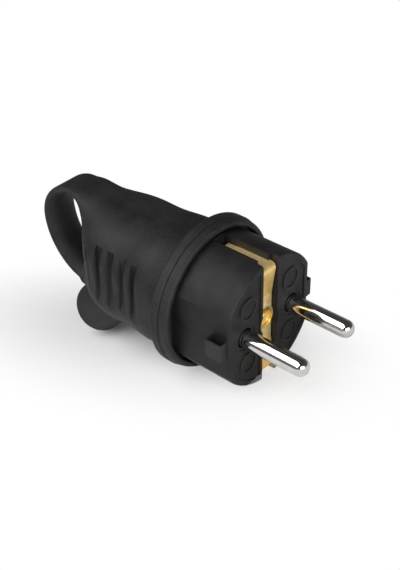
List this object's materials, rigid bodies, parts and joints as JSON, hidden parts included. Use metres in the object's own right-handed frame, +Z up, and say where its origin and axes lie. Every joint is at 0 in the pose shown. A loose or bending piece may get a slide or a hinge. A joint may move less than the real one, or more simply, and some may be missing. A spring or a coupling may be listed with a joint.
{
  "type": "angled rubber schuko plug",
  "caption": "Angled earthed mains plug in black rubber with a finger loop, grip ribs, a collar and a cable gland, round nickel pins and a brass earth strap.",
  "frame": {"origin": "middle of the contact face, between the two pins", "axes": "+X along the pins and out of the contact face, +Y towards the right pin, +Z up, away from the cable gland"},
  "size_m": [0.0989, 0.0432, 0.0548],
  "materials": {
    "cover_rubber": "matte",
    "carrier_plastic": "matte",
    "pin_nickel": "polished",
    "strap_brass": "polished",
    "post_brass": "satin",
    "screw_steel": "satin",
    "retainer_plastic": "satin"
  },
  "bodies": {
    "root": {"rubber_cover": "cover_rubber", "contact_carrier": "carrier_plastic", "left_pin": "pin_nickel", "right_pin": "pin_nickel", "earth_strap": "strap_brass", "earth_post": "post_brass", "left_terminal_screw": "screw_steel", "right_terminal_screw": "screw_steel", "earth_terminal_screw": "screw_steel", "pin_retainer": "retainer_plastic", "upper_retainer_screw": "screw_steel", "lower_retainer_screw": "screw_steel", "cord_clamp": "retainer_plastic", "left_clamp_screw": "screw_steel", "right_clamp_screw": "screw_steel"}
  },
  "joints": []
}
